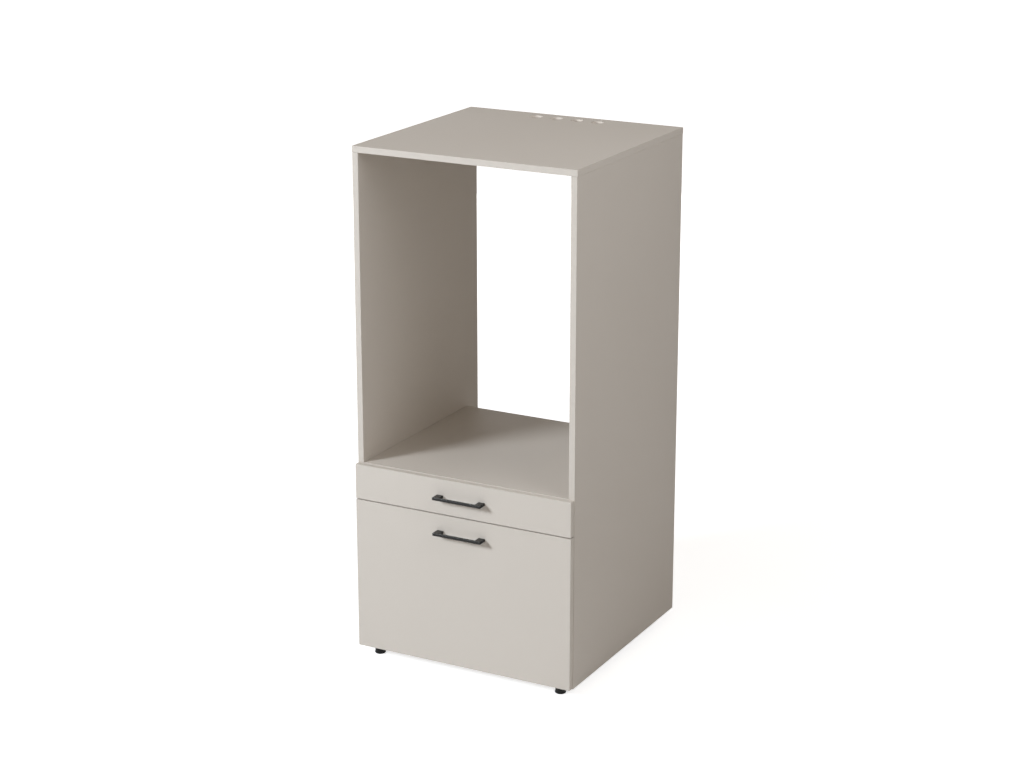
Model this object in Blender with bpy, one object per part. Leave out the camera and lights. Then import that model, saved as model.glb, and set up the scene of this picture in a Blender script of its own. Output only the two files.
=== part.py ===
"""A tall cabinet for a washing machine, as furniture board and fittings.

An open niche holds the machine. Below it are a shallow and a deep drawer on full-extension
ball bearing runners, and the whole stands on four levelling feet.

Metres, +Z up, the front faces -Y. The origin is on the floor, under the middle of the box that
holds the cabinet and its handles.
"""

import math

import bmesh
import bpy
from mathutils import Matrix, Vector

# Carcass
WIDTH = 0.680  # over the side panels
DEPTH = 0.662  # of the side panels
BOARD = 0.018  # thickness of the carcass boards and the drawer fronts
NICHE_HEIGHT = 0.882  # clear height for the machine
SERVICE_GAP = 0.070  # behind the shelf, for hoses and taps
TOP_BAND = 0.001  # edge band by which the top stands past each side panel
RAIL_HEIGHT = 0.100  # of the rail at the back, under the top
EDGE_RADIUS = 0.0008  # rounding of the banded board edges
SEAT_GAP = 0.0003  # left where one piece seats on another

# Round holes through the top, in a row near its back edge
VENT_RADIUS = 0.0175
VENT_PITCH = 0.065
VENT_COUNT = 4
VENT_FROM_BACK = 0.050

# Drawer fronts
LOWER_FRONT_HEIGHT = 0.4445
UPPER_FRONT_HEIGHT = 0.1015
FRONT_REVEAL = 0.002  # shelf above, and carcass below, the fronts
FRONT_GAP = 0.003  # between the two fronts
FRONT_SIDE_REVEAL = 0.0015  # by which a front stops short of each side panel

# Drawer boxes
BOX_BOARD = 0.016
BASE_SHEET = 0.004  # thickness of the drawer bottoms
GROOVE_DEPTH = 0.006
GROOVE_RISE = 0.010  # from a box's lower edge to its groove
UPPER_BOX_RISE = 0.0095  # from a front's lower edge to its box
UPPER_BOX_DROP = 0.024  # from a front's upper edge to its box
LOWER_BOX_RISE = 0.029
LOWER_BOX_DROP = 0.0955
LOWER_RUNNER_RISE = 0.120  # from the lower box's lower edge to its runners' middle

# Runners: three nested members of folded sheet, with a caged row of balls above and below
RUNNER_SETBACK = 0.002  # behind the carcass's front edge
RUNNER_TAIL_ROOM = 0.072  # from a runner to the back panel
RUNNER_HEIGHT = 0.045
RUNNER_THICKNESS = 0.0127
RUNNER_SHEET = 0.0012
RUNNER_PLAY = 0.0003  # between members, cages and balls
FOLD_RADIUS = 0.0009
OUTER_BALL_RADIUS = 0.0020
INNER_BALL_RADIUS = 0.0016
CAGE_SHEET = 0.0007
CAGE_LENGTH = 0.230
CAGE_LIP = 0.0014  # sheet of a cage past its balls' middle
LIP_OVER_BALL = 0.0006  # from a ball's middle out to the edge of the lip that holds it
BALLS_IN_ROW = 5
STOP_HEIGHT = 0.016  # of the folded stop at a runner's tail
STOP_REACH = 0.0095
RUNNER_HOLE_RADIUS = 0.0032
ACCESS_HOLE_RADIUS = 0.0065  # in a middle member, to reach the screws behind it
RUNNER_HOLE_INSET = 0.035  # from a member's ends to its outermost holes
MEMBER_HOLE_COUNT = 3

# Handles
SCREW_SPACING = 0.128  # between the handle's two screws
HANDLE_END = 0.0115  # from a screw to the handle's end
HANDLE_REACH = 0.028  # from the front to the face of the bar
HANDLE_HEIGHT = 0.008
HANDLE_POST = 0.020  # width of each post
HANDLE_BAR = 0.007  # depth of the bar
HANDLE_DROP = 0.050  # from a front's upper edge to the handle's middle
HANDLE_SOFTENING = 0.0007
HANDLE_THREAD_DEPTH = 0.012

# Handle screws
SCREW_RADIUS = 0.0020
SCREW_PLAY = 0.0004  # around a screw in its hole
SCREW_HEAD_RADIUS = 0.0042
SCREW_HEAD_HEIGHT = 0.0024
SCREW_ENGAGEMENT = 0.009  # length of screw inside the handle

# Levelling feet
LEVELLING_ROOM = 0.007  # from a foot's collar to the carcass
FOOT_INSET_SIDE = 0.049  # from a side panel's outer face to a foot's axis
FOOT_INSET_FRONT = 0.021  # from the carcass's front edge
FOOT_INSET_BACK = 0.032  # from the bottom panel's back edge
FOOT_RADIUS = 0.016
FOOT_SOLE_RADIUS = 0.0138
FOOT_NECK_RADIUS = 0.0142
FOOT_SOLE_RISE = 0.0010
FOOT_SKIRT_RISE = 0.0042
FOOT_BODY_HEIGHT = 0.017
COLLAR_RADIUS = 0.0080  # to the corners of the hexagon that a spanner turns
COLLAR_HEIGHT = 0.003
STEM_RADIUS = 0.004
STEM_PLAY = 0.0003  # around the stem in its insert
INSERT_WALL = 0.0018
INSERT_LENGTH = 0.013
FLANGE_RADIUS = 0.0095
FLANGE_THICKNESS = 0.0012

# How far cutters run past what they cut, and how finely round things are faceted
OVERRUN = 0.002
WELD_DISTANCE = 0.000003  # under which points of one shape are one
VENT_SIDES = 32
HOLE_SIDES = 12
COLLAR_SIDES = 6
TURNED_SIDES = 20
INSERT_SIDES = 16
BALL_SIDES = 6
BALL_RINGS = 4
FOLD_STEPS = 2
SOFTENING_STEPS = 2
SMOOTH_ANGLE = math.radians(40)

# Heights, worked out from the floor up
CARCASS_UNDERSIDE = FOOT_BODY_HEIGHT + COLLAR_HEIGHT + LEVELLING_ROOM
STEM_TIP = CARCASS_UNDERSIDE + INSERT_LENGTH
BOTTOM_TOP = CARCASS_UNDERSIDE + BOARD
LOWER_FRONT_LOW = CARCASS_UNDERSIDE + FRONT_REVEAL
LOWER_FRONT_HIGH = LOWER_FRONT_LOW + LOWER_FRONT_HEIGHT
UPPER_FRONT_LOW = LOWER_FRONT_HIGH + FRONT_GAP
UPPER_FRONT_HIGH = UPPER_FRONT_LOW + UPPER_FRONT_HEIGHT
SHELF_TOP = UPPER_FRONT_HIGH + FRONT_REVEAL
SHELF_UNDERSIDE = SHELF_TOP - BOARD
TOP_UNDERSIDE = SHELF_TOP + NICHE_HEIGHT
HEIGHT = TOP_UNDERSIDE + BOARD

# Depths, from the face of the handles at the front
OVERALL_DEPTH = HANDLE_REACH + SEAT_GAP + BOARD + SEAT_GAP + DEPTH
CARCASS_BACK = OVERALL_DEPTH / 2
CARCASS_FRONT = CARCASS_BACK - DEPTH
SHELF_BACK = CARCASS_BACK - SERVICE_GAP
FRONT_BACK = CARCASS_FRONT - SEAT_GAP  # the inner face of the closed drawer fronts
FRONT_FACE = FRONT_BACK - BOARD
BOX_FRONT = FRONT_BACK + SEAT_GAP
RUNNER_FRONT = CARCASS_FRONT + RUNNER_SETBACK
RUNNER_LENGTH = DEPTH - SERVICE_GAP - BOARD - RUNNER_SETBACK - RUNNER_TAIL_ROOM
MEMBER_LENGTH = RUNNER_LENGTH - RUNNER_SHEET - RUNNER_PLAY  # of the members that slide
CAGE_FRONT = RUNNER_FRONT + (MEMBER_LENGTH - CAGE_LENGTH) / 2

# Widths, either side of the middle
INNER_HALF = WIDTH / 2 - BOARD
BOX_HALF = INNER_HALF - SEAT_GAP - RUNNER_THICKNESS - SEAT_GAP
FRONT_HALF = WIDTH / 2 - FRONT_SIDE_REVEAL
SIDES = {"left": -1, "right": 1}


def clear_scene():
    for obj in list(bpy.data.objects):
        bpy.data.objects.remove(obj)


def finish(name, colour, roughness, metallic):
    """A plain material of one colour."""
    material = bpy.data.materials.new(name)
    material.use_nodes = True
    shader = material.node_tree.nodes["Principled BSDF"]
    shader.inputs["Base Color"].default_value = (*colour, 1)
    shader.inputs["Roughness"].default_value = roughness
    shader.inputs["Metallic"].default_value = metallic
    return material


def group(name, at):
    """An empty that carries the pieces of one body."""
    empty = bpy.data.objects.new(name, None)
    empty.location = at
    bpy.context.scene.collection.objects.link(empty)
    return empty


def piece(name, bm, material, body, at, smooth=False):
    """Makes the object of a sub-part from its mesh, at a place in the world."""
    mesh = bpy.data.meshes.new(name)
    bm.to_mesh(mesh)
    bm.free()
    mesh.materials.append(material)
    if smooth:
        mesh.shade_smooth()
        mesh.set_sharp_from_angle(angle=SMOOTH_ANGLE)
    obj = bpy.data.objects.new(name, mesh)
    bpy.context.scene.collection.objects.link(obj)
    obj.parent = body
    obj.location = Vector(at) - body.location
    return obj


def helper(name, bm, carrier):
    """A cutter, or a shape to be joined, in the frame of the piece that it works on."""
    mesh = bpy.data.meshes.new(name)
    bm.to_mesh(mesh)
    bm.free()
    obj = bpy.data.objects.new(name, mesh)
    bpy.context.scene.collection.objects.link(obj)
    obj.parent = carrier
    obj.hide_render = True
    obj.display_type = "WIRE"
    return obj


def combine(obj, bm, operation):
    """Cuts a mesh, given in the piece's own frame, out of the piece, or joins it on."""
    modifier = obj.modifiers.new(operation.lower(), "BOOLEAN")
    modifier.operation = operation
    modifier.object = helper(f"{obj.name}_{operation.lower()}", bm, obj)


def board(name, low, high, material, body, softening=EDGE_RADIUS):
    """A rectangular board between two corners, with softly rounded edges."""
    low, high = Vector(low), Vector(high)
    bm = bmesh.new()
    bmesh.ops.create_cube(bm, size=1)
    bmesh.ops.scale(bm, vec=high - low, verts=bm.verts)
    if softening:
        bmesh.ops.bevel(
            bm,
            geom=bm.edges[:],
            offset=softening,
            segments=SOFTENING_STEPS,
            profile=0.5,
            affect="EDGES",
        )
    return piece(name, bm, material, body, (low + high) / 2)


def add_rod(bm, radius, length, centre, axis, sides=HOLE_SIDES):
    """A capped cylinder about a centre, along axis X, Y or Z."""
    turns = {
        "X": Matrix.Rotation(math.pi / 2, 4, "Y"),
        "Y": Matrix.Rotation(math.pi / 2, 4, "X"),
        "Z": Matrix.Identity(4),
    }
    bmesh.ops.create_cone(
        bm,
        cap_ends=True,
        segments=sides,
        radius1=radius,
        radius2=radius,
        depth=length,
        matrix=Matrix.Translation(centre) @ turns[axis],
    )


def drill(obj, radius, length, places, axis, sides=HOLE_SIDES):
    """Drills round holes through or into a piece, each centred on a place in the world."""
    origin = obj.location + obj.parent.location
    bm = bmesh.new()
    for place in places:
        add_rod(bm, radius, length, Vector(place) - origin, axis, sides)
    combine(obj, bm, "DIFFERENCE")


def prism(outline, along, length):
    """A flat outline of points, extruded along an axis."""
    bm = bmesh.new()
    face = bm.faces.new([bm.verts.new(point) for point in outline])
    grown = bmesh.ops.extrude_face_region(bm, geom=[face])
    moved = [v for v in grown["geom"] if isinstance(v, bmesh.types.BMVert)]
    bmesh.ops.translate(bm, vec=Vector(along) * length, verts=moved)
    bmesh.ops.recalc_face_normals(bm, faces=bm.faces)
    return bm


def turned(profile, sides=TURNED_SIDES, ring=False):
    """A profile of (radius, height) points, spun about Z. A ring's profile closes on itself."""
    bm = bmesh.new()
    verts = [bm.verts.new((radius, 0, height)) for radius, height in profile]
    pairs = zip(verts, verts[1:] + verts[:1]) if ring else zip(verts, verts[1:])
    edges = [bm.edges.new(pair) for pair in pairs]
    bmesh.ops.spin(
        bm,
        geom=verts + edges,
        cent=(0, 0, 0),
        axis=(0, 0, 1),
        angle=2 * math.pi,
        steps=sides,
        use_merge=True,
    )
    bmesh.ops.remove_doubles(bm, verts=bm.verts, dist=WELD_DISTANCE)
    bmesh.ops.recalc_face_normals(bm, faces=bm.faces)
    return bm


def rounded_path(points, radius, steps):
    """A path with each inner corner turned into an arc of that radius."""
    path = [Vector(points[0])]
    for before, corner, after in zip(points, points[1:], points[2:]):
        corner = Vector(corner)
        towards = (Vector(before) - corner).normalized()
        away = (Vector(after) - corner).normalized()
        half = towards.angle(away) / 2
        centre = corner + (towards + away).normalized() * radius / math.sin(half)
        first = corner + towards * radius / math.tan(half) - centre
        last = corner + away * radius / math.tan(half) - centre
        for step in range(steps + 1):
            path.append(centre + first.slerp(last, step / steps) * radius)
    path.append(Vector(points[-1]))
    return path


def folded_sheet(name, path, sheet, length, material, body, at):
    """Sheet metal folded along a path of (x, z) points, and running back along +Y."""
    bm = bmesh.new()
    verts = [bm.verts.new((x, 0, z)) for x, z in path]
    edges = [bm.edges.new(pair) for pair in zip(verts, verts[1:])]
    grown = bmesh.ops.extrude_edge_only(bm, edges=edges)
    moved = [v for v in grown["geom"] if isinstance(v, bmesh.types.BMVert)]
    bmesh.ops.translate(bm, vec=(0, length, 0), verts=moved)
    obj = piece(name, bm, material, body, at)
    solidify = obj.modifiers.new("sheet", "SOLIDIFY")
    solidify.thickness = sheet
    solidify.offset = 0
    solidify.use_even_offset = True
    return obj


# Carcass


def carcass(laminate, body):
    """Two sides with the boards between them, and the top laid over both."""
    for side, hand in SIDES.items():
        low, high = sorted((hand * WIDTH / 2, hand * INNER_HALF))
        board(
            "side_panel_" + side,
            (low, CARCASS_FRONT, CARCASS_UNDERSIDE),
            (high, CARCASS_BACK, TOP_UNDERSIDE - SEAT_GAP),
            laminate,
            body,
        )
    top_panel(laminate, body)
    between = INNER_HALF - SEAT_GAP
    board(
        "washer_shelf",
        (-between, CARCASS_FRONT, SHELF_UNDERSIDE),
        (between, SHELF_BACK, SHELF_TOP),
        laminate,
        body,
    )
    bottom = board(
        "bottom_panel",
        (-between, CARCASS_FRONT, CARCASS_UNDERSIDE),
        (between, SHELF_BACK, BOTTOM_TOP),
        laminate,
        body,
    )
    middle = (CARCASS_UNDERSIDE + BOTTOM_TOP) / 2
    places = [(x, y, middle) for _, x, y in foot_places()]
    insert_radius = STEM_RADIUS + STEM_PLAY + INSERT_WALL
    drill(bottom, insert_radius + SEAT_GAP, BOARD + 2 * OVERRUN, places, "Z")
    board(
        "lower_back_panel",
        (-between, SHELF_BACK - BOARD, BOTTOM_TOP + SEAT_GAP),
        (between, SHELF_BACK, SHELF_UNDERSIDE - SEAT_GAP),
        laminate,
        body,
    )
    board(
        "top_rear_rail",
        (-between, CARCASS_BACK - BOARD, TOP_UNDERSIDE - SEAT_GAP - RAIL_HEIGHT),
        (between, CARCASS_BACK, TOP_UNDERSIDE - SEAT_GAP),
        laminate,
        body,
    )


def top_panel(laminate, body):
    """The top, with its row of round holes for air and hoses."""
    reach = WIDTH / 2 + TOP_BAND
    panel = board(
        "top_panel",
        (-reach, CARCASS_FRONT, TOP_UNDERSIDE),
        (reach, CARCASS_BACK, HEIGHT),
        laminate,
        body,
    )
    row, middle = CARCASS_BACK - VENT_FROM_BACK, (TOP_UNDERSIDE + HEIGHT) / 2
    places = [
        ((number - (VENT_COUNT - 1) / 2) * VENT_PITCH, row, middle)
        for number in range(VENT_COUNT)
    ]
    drill(panel, VENT_RADIUS, BOARD + 2 * OVERRUN, places, "Z", VENT_SIDES)


# Levelling feet


def foot_places():
    """Name and axis of each foot."""
    front = CARCASS_FRONT + FOOT_INSET_FRONT
    back = SHELF_BACK - FOOT_INSET_BACK
    return [
        (f"{end}_{side}", hand * (WIDTH / 2 - FOOT_INSET_SIDE), y)
        for end, y in (("front", front), ("rear", back))
        for side, hand in SIDES.items()
    ]


def feet(plastic):
    """Flared feet with their stems, from the floor up, each a moulding and a body of its own."""
    profile = [
        (0, 0),
        (FOOT_SOLE_RADIUS, 0),
        (FOOT_RADIUS - FOOT_SOLE_RISE, FOOT_SOLE_RISE),
        (FOOT_RADIUS, FOOT_SKIRT_RISE),
        (FOOT_NECK_RADIUS, FOOT_BODY_HEIGHT - FOOT_SOLE_RISE),
        (FOOT_NECK_RADIUS - FOOT_SOLE_RISE, FOOT_BODY_HEIGHT),
        (STEM_RADIUS, FOOT_BODY_HEIGHT),
        (STEM_RADIUS, STEM_TIP),
        (0, STEM_TIP),
    ]
    for name, x, y in foot_places():
        body = group(f"foot_{name}_level", (x, y, 0))
        foot = piece("foot_" + name, turned(profile), plastic, body, (x, y, 0), smooth=True)
        collar = bmesh.new()
        middle = Vector((0, 0, FOOT_BODY_HEIGHT + COLLAR_HEIGHT / 2 - OVERRUN / 2))
        add_rod(collar, COLLAR_RADIUS, COLLAR_HEIGHT + OVERRUN, middle, "Z", COLLAR_SIDES)
        combine(foot, collar, "UNION")


def foot_inserts(steel, body):
    """Flanged threaded inserts, pressed into the bottom panel from below."""
    bore = STEM_RADIUS + STEM_PLAY
    shell = bore + INSERT_WALL
    flange_low = -SEAT_GAP - FLANGE_THICKNESS
    profile = [
        (bore, flange_low),
        (FLANGE_RADIUS, flange_low),
        (FLANGE_RADIUS, -SEAT_GAP),
        (shell, -SEAT_GAP),
        (shell, INSERT_LENGTH),
        (bore, INSERT_LENGTH),
    ]
    for name, x, y in foot_places():
        ring = turned(profile, INSERT_SIDES, ring=True)
        piece("insert_" + name, ring, steel, body, (x, y, CARCASS_UNDERSIDE), smooth=True)


# Runners


def runner_layout():
    """Places in a runner's section: u from the carcass towards the drawer, v from the middle."""
    sheet, play = RUNNER_SHEET, RUNNER_PLAY
    outer_face = RUNNER_HEIGHT / 2
    outer_ball = outer_face - sheet - play - OUTER_BALL_RADIUS
    middle_face = outer_ball - OUTER_BALL_RADIUS - play
    inner_ball = middle_face - sheet - play - INNER_BALL_RADIUS
    inner_face = inner_ball - INNER_BALL_RADIUS - play
    outer_cage = sheet + play
    middle_web = outer_cage + CAGE_SHEET + play
    inner_cage = middle_web + sheet + play
    drawer_lip = inner_cage + CAGE_SHEET + play
    ball = drawer_lip + sheet + play + INNER_BALL_RADIUS
    end = ball + OUTER_BALL_RADIUS + play + sheet
    return {
        "outer_face": outer_face,
        "outer_tip": outer_ball + LIP_OVER_BALL,
        "outer_ball": outer_ball,
        "middle_face": middle_face,
        "middle_tip": inner_ball + LIP_OVER_BALL,
        "inner_ball": inner_ball,
        "inner_tip": inner_ball - CAGE_SHEET / 2 - play,
        "inner_face": inner_face,
        "outer_cage": outer_cage,
        "middle_web": middle_web,
        "inner_cage": inner_cage,
        "drawer_lip": drawer_lip,
        "ball": ball,
        "end": end,
    }


def channel(web, end, face, tip):
    """The middle line of a channel: lip, flange, web, flange and lip, in (u, v) points.

    web and end are the outer faces of its web and lips, face is its flange's outer face, and
    tip is where its lips stop.
    """
    step = math.copysign(RUNNER_SHEET / 2, end - web)
    u_web, u_end, v = web + step, end - step, face - RUNNER_SHEET / 2
    return [(u_end, tip), (u_end, v), (u_web, v), (u_web, -v), (u_end, -v), (u_end, -tip)]


def section_path(points, hand):
    """A runner's section as seen from the front, folded and turned to its side of the cabinet."""
    folds = rounded_path(points, FOLD_RADIUS, FOLD_STEPS)
    return [(-hand * u, v) for u, v in folds]


def member_holes(origin, u, hand, length):
    """Places of a member's screw holes, spread evenly between its outermost ones."""
    run = length - 2 * RUNNER_HOLE_INSET
    offsets = [
        RUNNER_HOLE_INSET + run * number / (MEMBER_HOLE_COUNT - 1)
        for number in range(MEMBER_HOLE_COUNT)
    ]
    return [Vector(origin) + Vector((-hand * u, offset, 0)) for offset in offsets]


def add_stop(member, hand):
    """A lug, folded in at a cabinet member's tail, which the sliding members close against."""
    bm = bmesh.new()
    bmesh.ops.create_cube(bm, size=1)
    bmesh.ops.scale(bm, vec=(STOP_REACH, RUNNER_SHEET, STOP_HEIGHT), verts=bm.verts)
    u = RUNNER_SHEET / 2 + STOP_REACH / 2
    middle = (-hand * u, RUNNER_LENGTH - RUNNER_SHEET / 2, 0)
    bmesh.ops.translate(bm, vec=middle, verts=bm.verts)
    combine(member, bm, "UNION")


def runner(level, side, height, zinc, cage_steel, bodies):
    """One full-extension runner: cabinet, middle and drawer members, and two ball cages."""
    hand = SIDES[side]
    at = runner_layout()
    origin = (hand * (INNER_HALF - SEAT_GAP), RUNNER_FRONT, height)

    # Name, body, places of the web and the lips, which flange, length, and radius of the holes
    fixing, access = RUNNER_HOLE_RADIUS, ACCESS_HOLE_RADIUS
    drawer_web, drawer_lip = RUNNER_THICKNESS, at["drawer_lip"]
    members = (
        ("cabinet", "carcass", 0, at["end"], "outer", RUNNER_LENGTH, fixing),
        ("middle", level + "_middles", at["middle_web"], at["end"], "middle", MEMBER_LENGTH, access),
        ("drawer", level + "_drawer", drawer_web, drawer_lip, "inner", MEMBER_LENGTH, fixing),
    )
    for part, body, web, lip, flange, length, hole_radius in members:
        points = channel(web, lip, at[flange + "_face"], at[flange + "_tip"])
        path = section_path(points, hand)
        name = f"{level}_runner_{part}_member_{side}"
        member = folded_sheet(name, path, RUNNER_SHEET, length, zinc, bodies[body], origin)
        if part == "cabinet":
            add_stop(member, hand)
        holes = member_holes(origin, web, hand, length)
        drill(member, hole_radius, 2 * (RUNNER_SHEET + OVERRUN), holes, "X")

    cage_at = (origin[0], CAGE_FRONT, height)
    for row, radius in (("outer", OUTER_BALL_RADIUS), ("inner", INNER_BALL_RADIUS)):
        points = cage_strip(at[row + "_cage"], at["ball"], at[row + "_ball"])
        path = section_path(points, hand)
        name = f"{level}_runner_{row}_cage_{side}"
        body = bodies[f"{level}_{row}_cages"]
        cage = folded_sheet(name, path, CAGE_SHEET, CAGE_LENGTH, cage_steel, body, cage_at)
        combine(cage, balls(-hand * at["ball"], at[row + "_ball"], radius), "UNION")


def cage_strip(web, ball_u, ball_v):
    """The middle line of a cage, in (u, v) points: the strip that keeps two rows of balls apart."""
    u_web, u_end = web + CAGE_SHEET / 2, ball_u + CAGE_LIP
    return [(u_end, ball_v), (u_web, ball_v), (u_web, -ball_v), (u_end, -ball_v)]


def balls(x, v, radius):
    """A cage's two rows of balls, above and below, evenly along it."""
    pitch = CAGE_LENGTH / BALLS_IN_ROW
    bm = bmesh.new()
    for number in range(BALLS_IN_ROW):
        for z in (v, -v):
            bmesh.ops.create_uvsphere(
                bm,
                u_segments=BALL_SIDES,
                v_segments=BALL_RINGS,
                radius=radius,
                matrix=Matrix.Translation((x, (number + 0.5) * pitch, z)),
            )
    return bm


# Drawers


def grooved_section(outer, inner, low, high):
    """A drawer board's section of (across, z) points, with a groove for the drawer's bottom.

    outer and inner are the places of its two faces, and the groove is in the inner one.
    """
    deep = inner + math.copysign(GROOVE_DEPTH, outer - inner)
    groove_low = low + GROOVE_RISE
    groove_high = groove_low + BASE_SHEET + 2 * SEAT_GAP
    return [
        (outer, low),
        (inner, low),
        (inner, groove_low),
        (deep, groove_low),
        (deep, groove_high),
        (inner, groove_high),
        (inner, high),
        (outer, high),
    ]


def drawer_box(level, low, high, laminate, fibreboard, body):
    """Sides, inner front and back around a thin bottom that lies in their grooves."""
    prefix = level + "_drawer_"
    inside = BOX_HALF - BOX_BOARD
    for side, hand in SIDES.items():
        section = grooved_section(hand * BOX_HALF, hand * inside, low, high)
        bm = prism([(x, 0, z) for x, z in section], (0, 1, 0), RUNNER_LENGTH)
        piece(prefix + "side_" + side, bm, laminate, body, (0, BOX_FRONT, 0))

    between = inside - SEAT_GAP
    section = grooved_section(0, BOX_BOARD, low, high)
    bm = prism([(-between, y, z) for y, z in section], (1, 0, 0), 2 * between)
    inner_front = piece(prefix + "inner_front", bm, laminate, body, (0, BOX_FRONT, 0))

    back = BOX_FRONT + RUNNER_LENGTH
    base_low = low + GROOVE_RISE + SEAT_GAP
    base_high = base_low + BASE_SHEET
    board(
        prefix + "back",
        (-between, back - BOX_BOARD, base_high + SEAT_GAP),
        (between, back, high),
        laminate,
        body,
    )
    reach = inside + GROOVE_DEPTH - SEAT_GAP
    front = BOX_FRONT + BOX_BOARD - GROOVE_DEPTH + SEAT_GAP
    low_corner, high_corner = (-reach, front, base_low), (reach, back, base_high)
    board(prefix + "bottom", low_corner, high_corner, fibreboard, body, softening=0)
    return inner_front


def screw_places(y, height):
    """Places of a handle's two screws, at a depth and a height."""
    return [(hand * SCREW_SPACING / 2, y, height) for hand in SIDES.values()]


def handle(level, height, metal, body):
    """A bridge handle: a bar between two posts, cut from one block, with two blind threads."""
    half = SCREW_SPACING / 2 + HANDLE_END
    inner = half - HANDLE_POST
    under_bar = HANDLE_REACH - HANDLE_BAR
    outline = [
        (-half, 0),
        (-half, -HANDLE_REACH),
        (half, -HANDLE_REACH),
        (half, 0),
        (inner, 0),
        (inner, -under_bar),
        (-inner, -under_bar),
        (-inner, 0),
    ]
    bm = prism([(x, y, -HANDLE_HEIGHT / 2) for x, y in outline], (0, 0, 1), HANDLE_HEIGHT)
    free = [edge for edge in bm.edges if any(vert.co.y < 0 for vert in edge.verts)]
    bmesh.ops.bevel(
        bm,
        geom=free,
        offset=HANDLE_SOFTENING,
        segments=SOFTENING_STEPS,
        profile=0.5,
        affect="EDGES",
    )
    seat = FRONT_FACE - SEAT_GAP
    obj = piece(level + "_drawer_handle", bm, metal, body, (0, seat, height))
    thread_radius = SCREW_RADIUS + SCREW_PLAY
    drill(obj, thread_radius, 2 * HANDLE_THREAD_DEPTH, screw_places(seat, height), "Y")


def handle_screws(level, height, seat, steel, body):
    """The two screws that hold a handle. seat is the face that their heads bear on."""
    length = seat + SEAT_GAP - (FRONT_FACE - SEAT_GAP) + SCREW_ENGAGEMENT
    profile = [
        (0, -length),
        (SCREW_RADIUS, -length),
        (SCREW_RADIUS, 0),
        (SCREW_HEAD_RADIUS, 0),
        (SCREW_HEAD_RADIUS, SCREW_HEAD_HEIGHT / 2),
        (SCREW_HEAD_RADIUS / 2, SCREW_HEAD_HEIGHT),
        (0, SCREW_HEAD_HEIGHT),
    ]
    for side, place in zip(SIDES, screw_places(seat + SEAT_GAP, height)):
        name = f"{level}_handle_screw_{side}"
        screw = piece(name, turned(profile, HOLE_SIDES), steel, body, place, smooth=True)
        screw.rotation_euler = (-math.pi / 2, 0, 0)


def drawer(level, heights, screwed_through_box, finishes, body):
    """A drawer: its laminated front, box, handle and handle screws.

    heights are those of its front's and then of its box's lower and upper edges.
    """
    front_low, front_high, box_low, box_high = heights
    laminate, fibreboard, black_metal, zinc = finishes
    front = board(
        level + "_drawer_front",
        (-FRONT_HALF, FRONT_FACE, front_low),
        (FRONT_HALF, FRONT_BACK, front_high),
        laminate,
        body,
    )
    height = front_high - HANDLE_DROP
    radius = SCREW_RADIUS + SCREW_PLAY
    places = screw_places((FRONT_FACE + FRONT_BACK) / 2, height)
    drill(front, radius, BOARD + 2 * OVERRUN, places, "Y")

    inner_front = drawer_box(level, box_low, box_high, laminate, fibreboard, body)
    seat = FRONT_BACK
    if screwed_through_box:
        places = screw_places(BOX_FRONT + BOX_BOARD / 2, height)
        drill(inner_front, radius, BOX_BOARD + 2 * OVERRUN, places, "Y")
        seat = BOX_FRONT + BOX_BOARD
    handle(level, height, black_metal, body)
    handle_screws(level, height, seat, zinc, body)


def main():
    clear_scene()
    laminate = finish("laminate", (0.61, 0.57, 0.52), 0.55, 0)
    fibreboard = finish("fibreboard", (0.61, 0.57, 0.52), 0.7, 0)
    black_metal = finish("black_metal", (0.045, 0.043, 0.040), 0.5, 0.3)
    black_plastic = finish("black_plastic", (0.012, 0.012, 0.012), 0.45, 0)
    zinc = finish("zinc_plate", (0.62, 0.63, 0.64), 0.35, 1)
    cage_steel = finish("cage_steel", (0.42, 0.42, 0.43), 0.4, 1)

    upper_low, upper_high = UPPER_FRONT_LOW + UPPER_BOX_RISE, UPPER_FRONT_HIGH - UPPER_BOX_DROP
    lower_low, lower_high = LOWER_FRONT_LOW + LOWER_BOX_RISE, LOWER_FRONT_HIGH - LOWER_BOX_DROP
    runner_heights = {
        "upper": (upper_low + upper_high) / 2,
        "lower": lower_low + LOWER_RUNNER_RISE,
    }

    bodies = {"carcass": group("carcass", (0, 0, 0))}
    for level, height in runner_heights.items():
        for part in ("drawer", "middles", "outer_cages", "inner_cages"):
            name = f"{level}_{part}"
            bodies[name] = group(name, (0, RUNNER_FRONT, height))

    carcass(laminate, bodies["carcass"])
    foot_inserts(zinc, bodies["carcass"])
    feet(black_plastic)
    for level, height in runner_heights.items():
        for side in SIDES:
            runner(level, side, height, zinc, cage_steel, bodies)

    finishes = (laminate, fibreboard, black_metal, zinc)
    upper_heights = (UPPER_FRONT_LOW, UPPER_FRONT_HIGH, upper_low, upper_high)
    lower_heights = (LOWER_FRONT_LOW, LOWER_FRONT_HIGH, lower_low, lower_high)
    drawer("upper", upper_heights, True, finishes, bodies["upper_drawer"])
    drawer("lower", lower_heights, False, finishes, bodies["lower_drawer"])


main()
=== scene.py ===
# %% [markdown]
# A tall cabinet for a washing machine, in matt laminated board. The machine stands in the open
# niche, and two drawers on ball bearing runners lie below it. Its solids come packed, with their
# sizes, joints and names, and this script gives them their looks. Flat boards and folded sheet
# are right as they come and only need a finish. What is turned, moulded or threaded is modelled
# again here with rounder forms, because a solid made for collisions has few faces. The file is
# read from top to bottom, and every step prints what it made.

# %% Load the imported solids
import math

import bmesh
import bpy
from mathutils import Matrix, Vector


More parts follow.
